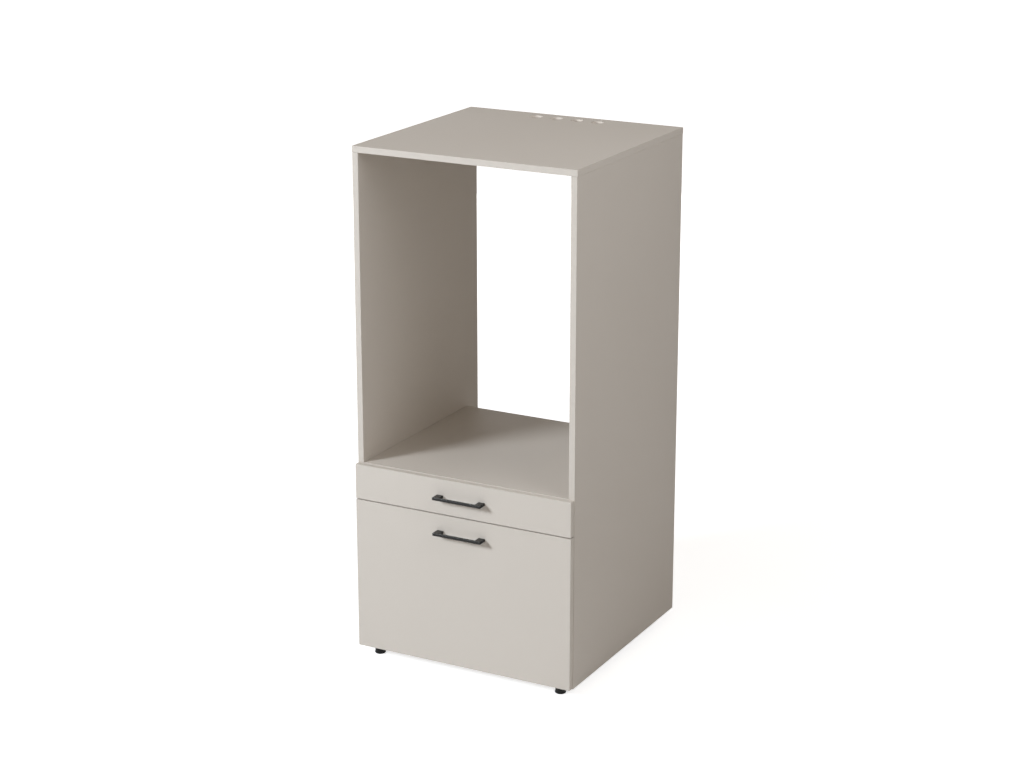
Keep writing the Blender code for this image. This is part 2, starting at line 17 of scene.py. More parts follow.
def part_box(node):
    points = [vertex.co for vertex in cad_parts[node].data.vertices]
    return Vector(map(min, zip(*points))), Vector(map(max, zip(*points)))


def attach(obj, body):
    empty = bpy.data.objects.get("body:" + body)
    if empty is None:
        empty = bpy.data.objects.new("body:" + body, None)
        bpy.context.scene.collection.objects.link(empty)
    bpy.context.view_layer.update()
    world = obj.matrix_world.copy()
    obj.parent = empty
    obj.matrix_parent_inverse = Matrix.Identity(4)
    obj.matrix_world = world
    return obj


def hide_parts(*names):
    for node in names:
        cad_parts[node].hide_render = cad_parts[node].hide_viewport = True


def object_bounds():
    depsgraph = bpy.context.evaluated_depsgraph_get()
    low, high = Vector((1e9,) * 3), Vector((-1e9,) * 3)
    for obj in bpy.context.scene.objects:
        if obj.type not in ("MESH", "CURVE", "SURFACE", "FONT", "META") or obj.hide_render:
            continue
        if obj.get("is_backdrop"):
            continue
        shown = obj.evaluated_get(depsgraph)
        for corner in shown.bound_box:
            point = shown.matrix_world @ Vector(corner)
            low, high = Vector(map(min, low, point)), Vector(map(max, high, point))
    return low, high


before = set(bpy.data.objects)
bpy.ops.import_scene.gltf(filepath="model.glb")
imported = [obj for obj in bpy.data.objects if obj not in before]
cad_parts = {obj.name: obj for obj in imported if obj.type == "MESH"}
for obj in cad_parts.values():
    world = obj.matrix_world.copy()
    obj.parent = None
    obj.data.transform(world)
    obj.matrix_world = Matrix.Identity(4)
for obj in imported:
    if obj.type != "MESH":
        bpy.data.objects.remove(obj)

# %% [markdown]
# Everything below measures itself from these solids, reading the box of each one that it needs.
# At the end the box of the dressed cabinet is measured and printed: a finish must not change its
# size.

MM = 0.001
scene = bpy.context.scene
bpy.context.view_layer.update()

# %% [markdown]
# The camera comes first, because every finish is judged through it. It stands front right of the
# cabinet, well above its top, and far away, so that the perspective is gentle. The picture it
# follows keeps upright edges parallel, which takes a lens shift of two thirds of the picture's
# width. A shift that large would push the cabinet out of every other view, so the camera is
# tilted down instead. Place, turn, tilt and lens were fitted together to the cabinet's corners.

# %% Place the camera
CAMERA_PLACE = (2.945, -5.536, 2.708)
CAMERA_TURN = math.radians(28.13)  # about the vertical, away from facing the front squarely
CAMERA_TILT = math.radians(17.15)  # below the horizon
CAMERA_LENS = 81.46  # mm, for a sensor of the width below
SENSOR_WIDTH = 36

camera = bpy.data.objects.new("camera", bpy.data.cameras.new("camera"))
camera.data.lens = CAMERA_LENS
camera.data.sensor_width = SENSOR_WIDTH
camera.location = CAMERA_PLACE
camera.rotation_euler = (math.pi / 2 - CAMERA_TILT, 0, CAMERA_TURN)
scene.collection.objects.link(camera)
scene.camera = camera
scene.view_settings.view_transform = "Standard"
print("camera", CAMERA_PLACE, "lens", CAMERA_LENS)

# %% [markdown]
# The ground is a plain white studio. A lit white floor never renders quite as white as paper, so
# the rays that reach it from the camera, or by a reflection, also pick up a little glow. Rays
# that carry light between surfaces see only paint, so the glow adds no light to the cabinet. The
# glow is weaker round the cabinet, where the floor keeps a faint shadow, as under a light tent,
# and rises outwards, where the lamps fade and the floor must still meet the white of the world.


# %% Mark the rays that may see white
def rays_that_see_white(tree):
    """Gives 1 for camera, mirror and glass rays, and 0 for those that carry diffuse light."""
    path = tree.nodes.new("ShaderNodeLightPath")
    total = path.outputs["Is Camera Ray"]
    for kind in ("Is Glossy Ray", "Is Transmission Ray"):
        add = tree.nodes.new("ShaderNodeMath")
        add.use_clamp = True
        tree.links.new(total, add.inputs[0])
        tree.links.new(path.outputs[kind], add.inputs[1])
        total = add.outputs[0]
    return total


# %% Lay the floor
FLOOR_HALF = 40.0
FLOOR_DROP = 0.2 * MM  # below the soles, so that the two faces don't fight
FLOOR_PAINT = 0.75
FLOOR_GLOW = 0.72  # round the cabinet
GLOW_FROM, GLOW_TO = 0.9, 4.0  # distances between which the glow rises to full white

floor_paint = bpy.data.materials.new("floor_paint")
floor_paint.use_nodes = True
floor_tree = floor_paint.node_tree
floor_tree.nodes.remove(floor_tree.nodes["Principled BSDF"])
paint = floor_tree.nodes.new("ShaderNodeBsdfDiffuse")
paint.inputs["Color"].default_value = (FLOOR_PAINT, FLOOR_PAINT, FLOOR_PAINT, 1)
glow = floor_tree.nodes.new("ShaderNodeEmission")
spot = floor_tree.nodes.new("ShaderNodeTexCoord")
away = floor_tree.nodes.new("ShaderNodeVectorMath")
away.operation = "LENGTH"
rise = floor_tree.nodes.new("ShaderNodeMapRange")
for socket, number in enumerate((GLOW_FROM, GLOW_TO, FLOOR_GLOW, 1.0), start=1):
    rise.inputs[socket].default_value = number
glow_share = floor_tree.nodes.new("ShaderNodeMath")
glow_share.operation = "MULTIPLY"
both = floor_tree.nodes.new("ShaderNodeAddShader")
floor_tree.links.new(spot.outputs["Object"], away.inputs[0])
floor_tree.links.new(away.outputs["Value"], rise.inputs[0])
floor_tree.links.new(rise.outputs[0], glow_share.inputs[1])
floor_tree.links.new(rays_that_see_white(floor_tree), glow_share.inputs[0])
floor_tree.links.new(glow_share.outputs[0], glow.inputs["Strength"])
floor_tree.links.new(paint.outputs[0], both.inputs[0])
floor_tree.links.new(glow.outputs[0], both.inputs[1])
floor_tree.links.new(both.outputs[0], floor_tree.nodes["Material Output"].inputs["Surface"])

floor_bm = bmesh.new()
bmesh.ops.create_grid(floor_bm, x_segments=1, y_segments=1, size=FLOOR_HALF)
bmesh.ops.translate(floor_bm, vec=(0, 0, -FLOOR_DROP), verts=floor_bm.verts)
floor_mesh = bpy.data.meshes.new("floor")
floor_bm.to_mesh(floor_mesh)
floor_bm.free()
floor_mesh.materials.append(floor_paint)
floor = bpy.data.objects.new("floor", floor_mesh)
scene.collection.objects.link(floor)
floor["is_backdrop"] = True
print("floor", 2 * FLOOR_HALF, "m wide, paint", FLOOR_PAINT, "glow", FLOOR_GLOW)

# %% [markdown]
# The light is soft and plain. A broad key lamp stands front left, well above the top, and models
# the form: it brightens the fronts, rakes across the top, and draws the soft slanting shadow
# inside the niche. Weaker lamps stand round it: one in front softens the handles' shadows, a fill
# on the right opens the side that the key leaves dark, one overhead lifts the top, and a faint one
# behind keeps the back from going black. The fill stands high and near, so its light falls off
# down the side, from the top front corner to the low back one. The surroundings add a little warm
# light from everywhere. A lamp's strength is written as the brightness that it gives a white card
# held square to it, so one of 1 is as bright as paper.

# %% Light the studio
SURROUNDINGS = 0.15
SURROUNDINGS_COLOUR = (1.15, 1.0, 0.85)
LAMP_AIM = Vector((0, 0, 0.75))
LAMPS = {
    # Name: heading, distance, diameter, strength, colour
    "key": ((0.53, 0.76, -0.42), 7.0, 1.9, 0.765, (0.93, 1.0, 1.07)),
    "front": ((-0.40, 0.90, -0.20), 6.0, 3.0, 0.045, (1.1, 1.0, 0.9)),
    "fill": ((-0.88, 0.28, -0.60), 3.2, 2.0, 0.275, (0.97, 1.0, 1.03)),
    "overhead": ((0.0, 0.05, -1.0), 6.0, 3.0, 0.085, (1.1, 1.0, 0.9)),
    "behind": ((0.50, -0.85, 0.0), 6.0, 2.5, 0.09, (1, 1, 1)),
}

world = bpy.data.worlds.new("studio")
world.use_nodes = True
scene.world = world
world_tree = world.node_tree
around = world_tree.nodes["Background"]
around.inputs["Strength"].default_value = SURROUNDINGS
around.inputs["Color"].default_value = (*SURROUNDINGS_COLOUR, 1)
white = world_tree.nodes.new("ShaderNodeBackground")
white.inputs["Color"].default_value = (1, 1, 1, 1)
either = world_tree.nodes.new("ShaderNodeMixShader")
world_tree.links.new(rays_that_see_white(world_tree), either.inputs[0])
world_tree.links.new(around.outputs[0], either.inputs[1])
world_tree.links.new(white.outputs[0], either.inputs[2])
world_tree.links.new(either.outputs[0], world_tree.nodes["World Output"].inputs["Surface"])

for name, (heading, distance, diameter, strength, colour) in LAMPS.items():
    heading = Vector(heading).normalized()
    lamp = bpy.data.objects.new(name, bpy.data.lights.new(name, "AREA"))
    lamp.data.shape = "DISK"
    lamp.data.size = diameter
    lamp.data.color = colour
    lamp.data.energy = strength * math.pi * math.pi * distance**2
    lamp.location = LAMP_AIM - heading * distance
    lamp.rotation_euler = heading.to_track_quat("-Z", "Y").to_euler()
    scene.collection.objects.link(lamp)
    print("lamp", name, [round(place, 2) for place in lamp.location], round(lamp.data.energy), "W")

# %% [markdown]
# Every finish is a small graph of nodes that reads Object coordinates, which here are metres in
# the room. A pattern is therefore given at its real scale: so many cells to the metre. The few
# helpers below keep each finish short. Some colours are written as on a paint chart, from 0 to
# 255, and turned into the linear light values that a shader works with. A finish starts from one
# plain colour and roughness, which a simpler renderer can fall back on, and patterns go over them.


# %% Helpers for finishes
def paint_chart(red, green, blue):
    """A colour of the paint chart as the linear values of a shader."""
    shares = (level / 255 for level in (red, green, blue))
    return tuple(((share + 0.055) / 1.055) ** 2.4 for share in shares)


def start_finish(name, colour, roughness, metallic=0.0):
    """A material with its tree, its shader and the coordinates that its patterns read."""
    finish = bpy.data.materials.new(name)
    finish.use_nodes = True
    tree = finish.node_tree
    shader = tree.nodes["Principled BSDF"]
    shader.inputs["Base Color"].default_value = (*colour, 1)
    shader.inputs["Roughness"].default_value = roughness
    shader.inputs["Metallic"].default_value = metallic
    where = tree.nodes.new("ShaderNodeTexCoord").outputs["Object"]
    return finish, tree, shader, where


def grain(tree, where, cells, stretch=(1, 1, 1), detail=2.0):
    """Noise from 0 to 1 with so many cells to the metre, drawn out along the axes below 1."""
    mapping = tree.nodes.new("ShaderNodeMapping")
    mapping.inputs["Scale"].default_value = stretch
    noise = tree.nodes.new("ShaderNodeTexNoise")
    noise.inputs["Scale"].default_value = cells
    noise.inputs["Detail"].default_value = detail
    tree.links.new(where, mapping.inputs["Vector"])
    tree.links.new(mapping.outputs[0], noise.inputs["Vector"])
    return noise.outputs["Fac"]


def spread(tree, value, low, high, lowest=0.35, highest=0.65):
    """Stretches a value that runs from lowest to highest over the range from low to high."""
    ranged = tree.nodes.new("ShaderNodeMapRange")
    for place, number in enumerate((lowest, highest, low, high), start=1):
        ranged.inputs[place].default_value = number
    tree.links.new(value, ranged.inputs[0])
    return ranged.outputs[0]


def sum_of(tree, operation, first, second):
    """One step of arithmetic on two values, each a socket or a number."""
    step = tree.nodes.new("ShaderNodeMath")
    step.operation = operation
    for socket, value in zip(step.inputs, (first, second)):
        if isinstance(value, (int, float)):
            socket.default_value = value
        else:
            tree.links.new(value, socket)
    return step.outputs[0]


def blend_colours(tree, share, first, second):
    """Mixes two colours, each a socket or three numbers, by a share from 0 to 1."""
    mix = tree.nodes.new("ShaderNodeMix")
    mix.data_type = "RGBA"
    tree.links.new(share, mix.inputs[0])
    for socket, colour in ((mix.inputs[6], first), (mix.inputs[7], second)):
        if isinstance(colour, tuple):
            socket.default_value = (*colour, 1)
        else:
            tree.links.new(colour, socket)
    return mix.outputs[2]


def emboss(tree, shader, height, depth, strength=1.0):
    """Turns a height from 0 to 1 into relief of that depth in metres."""
    bump = tree.nodes.new("ShaderNodeBump")
    bump.inputs["Distance"].default_value = depth
    bump.inputs["Strength"].default_value = strength
    tree.links.new(height, bump.inputs["Height"])
    tree.links.new(bump.outputs[0], shader.inputs["Normal"])


def tinted(colour, factor):
    """A colour made lighter or darker by a factor."""
    return tuple(level * factor for level in colour)


print("finish helpers ready")

# %% [markdown]
# The boards are chipboard faced with melamine in a warm light grey, and their edges carry a band
# of the same colour, one millimetre thick. The face is dead matt with a pearl print: a relief of
# a few thousandths of a millimetre that breaks up highlights. Seen from a metre away all of this
# reads as an even tone, so the colour varies by barely one part in a hundred. What gives a board
# away up close is the hairline where face and band meet. It is drawn as the distance to a plane
# that lies one band inside each banded edge, so each board gets a finish of its own. The walls of
# the four vents near the back of the top are painted a shade lighter than the boards: painted
# light, which stands in for light reaching into them, so they read as pale spots. A point is on
# such a wall if it is near enough to a vent's axis.

# %% Laminated board
BOARD_COLOUR = (0.616, 0.566, 0.510)  # linear, a warm light grey
PEARL_CELLS = 1500
CLOUD_CELLS = 2.5
BAND_THICKNESS = 1.0 * MM
HAIRLINE = 0.12 * MM
BAND_SIDES = {"front": ("Y", 0), "back": ("Y", 1), "left": ("X", 0), "right": ("X", 1)}
BAND_SIDES.update({"low": ("Z", 0), "high": ("Z", 1)})
VENT_RADIUS = 17.5 * MM
VENT_PITCH = 65.0 * MM
VENT_FROM_BACK = 50.0 * MM
VENT_XS = [pitches * VENT_PITCH for pitches in (-1.5, -0.5, 0.5, 1.5)]
# Painted light: the vents' walls are made this much lighter than the board, as if more light
# reached into them.
VENT_PAINTED_LIGHT = 1.2


def band_distance(tree, where, box, edge):
    """How far a point lies inside the plane where the face meets the band of one edge."""
    axis, end = BAND_SIDES[edge]
    place = "XYZ".index(axis)
    apart = tree.nodes.new("ShaderNodeSeparateXYZ")
    tree.links.new(where, apart.inputs[0])
    if end:
        return sum_of(tree, "SUBTRACT", box[1][place] - BAND_THICKNESS, apart.outputs[axis])
    return sum_of(tree, "SUBTRACT", apart.outputs[axis], box[0][place] + BAND_THICKNESS)


def inside_vents(tree, where, box):
    """Gives 1 on the walls of the vents, below the face that they open in, and 0 elsewhere."""
    apart = tree.nodes.new("ShaderNodeSeparateXYZ")
    tree.links.new(where, apart.inputs[0])
    flat = tree.nodes.new("ShaderNodeCombineXYZ")
    for axis in "XY":
        tree.links.new(apart.outputs[axis], flat.inputs[axis])
    nearest = None
    for x in VENT_XS:
        reach = tree.nodes.new("ShaderNodeVectorMath")
        reach.operation = "DISTANCE"
        reach.inputs[1].default_value = (x, box[1].y - VENT_FROM_BACK, 0)
        tree.links.new(flat.outputs[0], reach.inputs[0])
        away = reach.outputs["Value"]
        nearest = away if nearest is None else sum_of(tree, "MINIMUM", nearest, away)
    near = sum_of(tree, "LESS_THAN", nearest, VENT_RADIUS + HAIRLINE)
    below = sum_of(tree, "LESS_THAN", apart.outputs["Z"], box[1].z - HAIRLINE)
    return sum_of(tree, "MULTIPLY", near, below)


def laminated_board(name, box, bands, has_vents=False):
    """Matt melamine with a pearl print, and the hairline of its edge bands."""
    finish, tree, shader, where = start_finish("laminate_" + name, BOARD_COLOUR, 0.6)
    shader.inputs["Specular IOR Level"].default_value = 0.15
    clouds = grain(tree, where, CLOUD_CELLS, detail=3)
    pearl = grain(tree, where, PEARL_CELLS, detail=1)
    tone = blend_colours(
        tree,
        spread(tree, clouds, 0, 1),
        tinted(BOARD_COLOUR, 0.993),
        tinted(BOARD_COLOUR, 1.007),
    )
    tone = blend_colours(tree, spread(tree, pearl, 0, 0.05), tone, tinted(BOARD_COLOUR, 0.85))
    roughness = spread(tree, clouds, 0.57, 0.65)
    inside = None
    for edge in bands:
        distance = band_distance(tree, where, box, edge)
        inside = distance if inside is None else sum_of(tree, "MINIMUM", inside, distance)
    if inside is not None:
        near = sum_of(tree, "ABSOLUTE", inside, 0)
        seam = spread(tree, near, 1, 0, HAIRLINE / 2, HAIRLINE)
        tone = blend_colours(tree, seam, tone, tinted(BOARD_COLOUR, 0.62))
        on_face = sum_of(tree, "GREATER_THAN", inside, 0)
        roughness = sum_of(tree, "ADD", roughness, spread(tree, on_face, -0.06, 0, 0, 1))
    # Painted light: the vent walls get a lighter colour that stands in for light reaching into
    # them.
    if has_vents:
        walls = inside_vents(tree, where, box)
        tone = blend_colours(tree, walls, tone, tinted(BOARD_COLOUR, VENT_PAINTED_LIGHT))
    tree.links.new(tone, shader.inputs["Base Color"])
    tree.links.new(roughness, shader.inputs["Roughness"])
    emboss(tree, shader, pearl, 0.006 * MM)
    return finish


print("board colour", BOARD_COLOUR)

# %% [markdown]
# A carried-over board keeps its mesh. Its object already has a slot for a material, so dressing
# it means putting the new finish into that slot. A band goes on each edge that shows once the
# cabinet is built: the front edge of the carcass boards, the back edge where the open niche shows
# it, all four edges of the drawer fronts, and the top edge of the drawer boxes.


# %% Dress the boards
def dress(node, finish):
    """Gives a carried-over solid its finish."""
    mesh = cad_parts[node].data
    if not mesh.materials:
        mesh.materials.append(finish)
    for place in range(len(mesh.materials)):
        mesh.materials[place] = finish


BANDS = {
    "side_panel_left": ("front", "back", "low"),
    "side_panel_right": ("front", "back", "low"),
    "top_panel": ("front", "back", "left", "right"),
    "washer_shelf": ("front", "back"),
    "bottom_panel": ("front", "back"),
    "lower_back_panel": (),
    "top_rear_rail": ("low",),
}
for level in ("upper", "lower"):
    BANDS[level + "_drawer_front"] = ("left", "right", "low", "high")
    for board in ("side_left", "side_right", "inner_front", "back"):
        BANDS[f"{level}_drawer_{board}"] = ("high",)

for board, edges in BANDS.items():
    dress(board, laminated_board(board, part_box(board), edges, board == "top_panel"))
print("boards dressed", len(BANDS))

# %% [markdown]
# A drawer's bottom is four millimetres of hardboard. Its upper face is lacquered to match, with a
# faint linen print, and its underside is bare brown fibre. One solid has both faces, so the finish
# picks by height: above the middle of the sheet it is lacquer, and below it fibre. The fibres are
# noise drawn out in two directions, because they lie crossed in the sheet.

# %% Drawer bottoms
LINEN_CELLS = 900
FIBRE_CELLS = 420
FIBRE_COLOUR = paint_chart(122, 91, 62)
FIBRE_DARK = paint_chart(84, 60, 40)


def drawer_bottom_board(name, box):
    """Hardboard with a lacquered upper face and a bare underside."""
    finish, tree, shader, where = start_finish("hardboard_" + name, BOARD_COLOUR, 0.6)
    shader.inputs["Specular IOR Level"].default_value = 0.3
    threads = [
        grain(tree, where, LINEN_CELLS, stretch, 1) for stretch in ((1, 0.04, 1), (0.04, 1, 1))
    ]
    linen = sum_of(tree, "MAXIMUM", *threads)
    fibres = sum_of(
        tree,
        "MULTIPLY",
        grain(tree, where, FIBRE_CELLS, (1, 0.15, 1), 3),
        grain(tree, where, FIBRE_CELLS, (0.15, 1, 1), 3),
    )
    lacquer = blend_colours(
        tree,
        spread(tree, linen, 0, 1, 0.45, 0.7),
        tinted(BOARD_COLOUR, 0.95),
        tinted(BOARD_COLOUR, 1.01),
    )
    bare = blend_colours(tree, spread(tree, fibres, 0, 1, 0.12, 0.4), FIBRE_DARK, FIBRE_COLOUR)
    apart = tree.nodes.new("ShaderNodeSeparateXYZ")
    tree.links.new(where, apart.inputs[0])
    middle = (box[0].z + box[1].z) / 2
    upper = sum_of(tree, "GREATER_THAN", apart.outputs["Z"], middle)
    tree.links.new(blend_colours(tree, upper, bare, lacquer), shader.inputs["Base Color"])
    tree.links.new(spread(tree, upper, 0.85, 0.55, 0, 1), shader.inputs["Roughness"])
    emboss(tree, shader, linen, 0.015 * MM, 0.6)
    return finish


for level in ("upper", "lower"):
    bottom = level + "_drawer_bottom"
    dress(bottom, drawer_bottom_board(bottom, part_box(bottom)))
print("drawer bottoms dressed 2")

# %% [markdown]
# The runners are folded from zinc-plated strip. Strip is rolled, so its faint streaks run along
# its length, and the plating on it clouds a little. Both are noise, one of them drawn out fifty
# times along the runner. Along the tracks of the balls the zinc is burnished and lightly greased,
# which shows as two thin bright lines at the height of the balls.

# %% Zinc-plated strip
ZINC_COLOUR = paint_chart(196, 200, 203)
ZINC_CLOUDED = paint_chart(172, 175, 178)
TRACK_WIDTH = 1.0 * MM


def zinc_strip(name, middle, track):
    """Rolled and plated sheet, with a burnished line at the track's height above and below."""
    finish, tree, shader, where = start_finish("zinc_strip_" + name, ZINC_COLOUR, 0.3, 1)
    streaks = grain(tree, where, 700, (1, 0.02, 1), 2)
    clouds = grain(tree, where, 30, (1, 0.3, 1), 3)
    share = sum_of(tree, "MULTIPLY", spread(tree, streaks, 0.4, 1), spread(tree, clouds, 0, 1))
    tree.links.new(
        blend_colours(tree, share, ZINC_COLOUR, ZINC_CLOUDED), shader.inputs["Base Color"]
    )
    apart = tree.nodes.new("ShaderNodeSeparateXYZ")
    tree.links.new(where, apart.inputs[0])
    height = sum_of(tree, "ABSOLUTE", sum_of(tree, "SUBTRACT", apart.outputs["Z"], middle), 0)
    off_track = sum_of(tree, "ABSOLUTE", sum_of(tree, "SUBTRACT", height, track), 0)
    burnished = spread(tree, off_track, 0.14, 0, 0, TRACK_WIDTH)
    rough = sum_of(tree, "SUBTRACT", spread(tree, streaks, 0.27, 0.40), burnished)
    tree.links.new(rough, shader.inputs["Roughness"])
    emboss(tree, shader, streaks, 0.004 * MM)
    return finish


RUNNER_TRACKS = {"cabinet": "outer", "middle": "outer", "drawer": "inner"}
for level in ("upper", "lower"):
    for member, row in RUNNER_TRACKS.items():
        low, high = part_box(f"{level}_runner_{row}_cage_left")
        middle, track = (low.z + high.z) / 2, (high.z - low.z) / 2
        strip = zinc_strip(f"{level}_{member}", middle, track)
        for side in ("left", "right"):
            dress(f"{level}_runner_{member}_member_{side}", strip)
print("runner members dressed", 2 * 2 * len(RUNNER_TRACKS))

# %% [markdown]
# Four more finishes serve the small pieces. Powder coat has the fine orange peel of melted
# powder. Moulded plastic is darker, with the dull grain of a sparked mould. Plated steel, for
# screws and threads, is bright with slight clouds. Strip steel, for the ball cages, carries a
# film of amber grease, and the balls themselves are polished.

# %% Finishes of the fittings
COAT_COLOUR = (0.0075, 0.0068, 0.0060)
PLASTIC_COLOUR = (0.005, 0.005, 0.005)
STEEL_COLOUR = paint_chart(176, 176, 178)
GREASE_TINT = paint_chart(150, 122, 78)


def powder_coat():
    """Satin black powder coat with fine orange peel."""
    finish, tree, shader, where = start_finish("powder_coat_black", COAT_COLOUR, 0.48)
    shader.inputs["Specular IOR Level"].default_value = 0.28
    peel = grain(tree, where, 1800, detail=1)
    dust = grain(tree, where, 90, detail=3)
    tree.links.new(
        blend_colours(
            tree, spread(tree, dust, 0, 1), tinted(COAT_COLOUR, 0.9), tinted(COAT_COLOUR, 1.15)
        ),
        shader.inputs["Base Color"],
    )
    tree.links.new(spread(tree, dust, 0.22, 0.29), shader.inputs["Roughness"])
    emboss(tree, shader, peel, 0.02 * MM, 0.7)
    return finish


def moulded_plastic():
    """Black plastic with the dull grain of its mould."""
    finish, tree, shader, where = start_finish("moulded_plastic_black", PLASTIC_COLOUR, 0.45)
    shader.inputs["Specular IOR Level"].default_value = 0.2
    spark = grain(tree, where, 1300, detail=2)
    scuffs = grain(tree, where, 60, (1, 1, 4), 4)
    tree.links.new(
        blend_colours(
            tree,
            spread(tree, scuffs, 0, 1, 0.5, 0.75),
            PLASTIC_COLOUR,
            tinted(PLASTIC_COLOUR, 2.0),
        ),
        shader.inputs["Base Color"],
    )
    tree.links.new(spread(tree, spark, 0.36, 0.50), shader.inputs["Roughness"])
    emboss(tree, shader, spark, 0.02 * MM, 0.6)
    return finish


def plated_steel():
    """Bright zinc plate on turned parts."""
    finish, tree, shader, where = start_finish("plated_steel", ZINC_COLOUR, 0.28, 1)
    clouds = grain(tree, where, 220, detail=3)
    tree.links.new(
        blend_colours(tree, spread(tree, clouds, 0, 0.7), ZINC_COLOUR, ZINC_CLOUDED),
        shader.inputs["Base Color"],
    )
    tree.links.new(spread(tree, clouds, 0.22, 0.36), shader.inputs["Roughness"])
    return finish


def cage_steel():
    """Strip steel under a film of grease."""
    finish, tree, shader, where = start_finish("cage_steel_greased", STEEL_COLOUR, 0.35, 1)
    streaks = grain(tree, where, 500, (1, 0.05, 1), 2)
    film = grain(tree, where, 70, detail=3)
    tree.links.new(
        blend_colours(tree, spread(tree, film, 0, 0.6), STEEL_COLOUR, GREASE_TINT),
        shader.inputs["Base Color"],
    )
    tree.links.new(spread(tree, streaks, 0.28, 0.42), shader.inputs["Roughness"])
    shader.inputs["Coat Weight"].default_value = 0.4
    shader.inputs["Coat Roughness"].default_value = 0.15
    return finish


def ball_steel():
    """Hardened and polished steel."""
    finish, tree, shader, where = start_finish("ball_steel_polished", STEEL_COLOUR, 0.08, 1)
    marks = grain(tree, where, 900, detail=2)
    tree.links.new(spread(tree, marks, 0.05, 0.13), shader.inputs["Roughness"])
    return finish


COAT = powder_coat()
MOULDED = moulded_plastic()
PLATED = plated_steel()
CAGE = cage_steel()
POLISHED = ball_steel()
print("fitting finishes ready")

# %% [markdown]
# The fittings are modelled as bmeshes and only become objects at the end. Three helpers do most
# of the work. One spins an outline about the vertical, for everything that is turned. One rounds
# the edges that are sharper than a given angle, because no real edge is perfectly sharp, and it
# is the rounded edge that catches the light. The last makes the object, with its place in its
# mesh, and lets it ride on a body so that it follows when a drawer slides. It also weighs the
# normals by area, so that flat faces shade flat up to their rounded edges.

# %% Helpers for shapes
WELD = 0.001 * MM
CREASE = math.radians(35)


def turn(profile, steps):
    """Spins an outline of (radius, height) points about the vertical into a closed shape."""
    bm = bmesh.new()
    verts = [bm.verts.new((radius, 0, height)) for radius, height in profile]
    edges = [bm.edges.new(pair) for pair in zip(verts, verts[1:])]
    bmesh.ops.spin(
        bm,
        geom=verts + edges,
        cent=(0, 0, 0),
        axis=(0, 0, 1),
        angle=2 * math.pi,
        steps=steps,
        use_merge=True,
    )
    bmesh.ops.remove_doubles(bm, verts=bm.verts, dist=WELD)
    bmesh.ops.recalc_face_normals(bm, faces=bm.faces)
    return bm


def soften(bm, radius, segments=3, sharper_than=CREASE, chosen=None):
    """Rounds the edges that are sharper than an angle, or those of them that are chosen."""
    edges = [edge for edge in bm.edges if edge.calc_face_angle(0) > sharper_than]
    if chosen is not None:
        edges = [edge for edge in edges if chosen(edge)]
    bmesh.ops.bevel(
        bm,
        geom=edges,
        offset=radius,
        segments=segments,
        profile=0.5,
        affect="EDGES",
        material=-1,
    )


def verts_of(made):
    """The vertices among what an operator returned."""
    return [item for item in made["geom"] if isinstance(item, bmesh.types.BMVert)]


def repeat(bm, places):
    """Copies the shape, made at the origin, to each of some places."""
    first_verts = bm.verts[:]
    first = first_verts + bm.edges[:] + bm.faces[:]
    for place in places[1:]:
        copy = bmesh.ops.duplicate(bm, geom=first)
        bmesh.ops.translate(bm, vec=place, verts=verts_of(copy))
    bmesh.ops.translate(bm, vec=places[0], verts=first_verts)


def aim(bm, direction):
    """Turns a shape made pointing up so that it points in a direction."""
    turn_by = Vector((0, 0, 1)).rotation_difference(Vector(direction)).to_matrix()
    bmesh.ops.rotate(bm, cent=(0, 0, 0), matrix=turn_by, verts=bm.verts)


def carve(bm, cutter):
    """Cuts one closed shape out of another, and gives the result as a new bmesh."""
    held = []
    for name, shape in (("carved", bm), ("cutter", cutter)):
        mesh = bpy.data.meshes.new(name)
        shape.to_mesh(mesh)
        shape.free()
        held.append(bpy.data.objects.new(name, mesh))
        scene.collection.objects.link(held[-1])
    cut = held[0].modifiers.new("cut", "BOOLEAN")
    cut.operation = "DIFFERENCE"
    cut.object = held[1]
    result = bmesh.new()
    result.from_object(held[0], bpy.context.evaluated_depsgraph_get())
    for obj in held:
        mesh = obj.data
        bpy.data.objects.remove(obj)
        bpy.data.meshes.remove(mesh)
    return result


def fit_out(name, bm, finish, body, stands_for=(), smooth=True):
    """Makes the object of a finished shape, and lets it ride on its body."""
    mesh = bpy.data.meshes.new(name)
    bm.to_mesh(mesh)
    bm.free()
    mesh.materials.append(finish)
    if smooth:
        mesh.shade_smooth()
        mesh.set_sharp_from_angle(angle=CREASE)
    obj = bpy.data.objects.new(name, mesh)
    scene.collection.objects.link(obj)
    if smooth:
        weighed = obj.modifiers.new("weighted_normals", "WEIGHTED_NORMAL")
        weighed.keep_sharp = True
    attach(obj, body)
    if stands_for:
        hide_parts(*stands_for)
    return obj


print("shape helpers ready")

# %% [markdown]
# A levelling foot is a flared plastic base on an M8 stud. The base is turned from an outline: a
# flat sole with a small chamfer, an upright rim, a step, and a skirt that draws in to the neck.
# A hexagonal collar on it takes a spanner. The stud's thread is a real helix. A small triangle is
# spun and lifted a little at every step, so that the spin climbs like a spiral stair.

# %% Turn a foot
FOOT_RIM_HEIGHT = 4.2 * MM
FOOT_STEP = 0.5 * MM
COLLAR_TALL = 3.0 * MM
COLLAR_REACH = 8.0 * MM  # from the axis to a corner
COLLAR_TOP = 20.0 * MM  # above the floor
STUD_CREST = 4.0 * MM
STUD_ROOT = 3.4 * MM
STUD_PITCH = 1.25 * MM
TURNED_STEPS = 64
THREAD_STEPS = 24  # to a turn


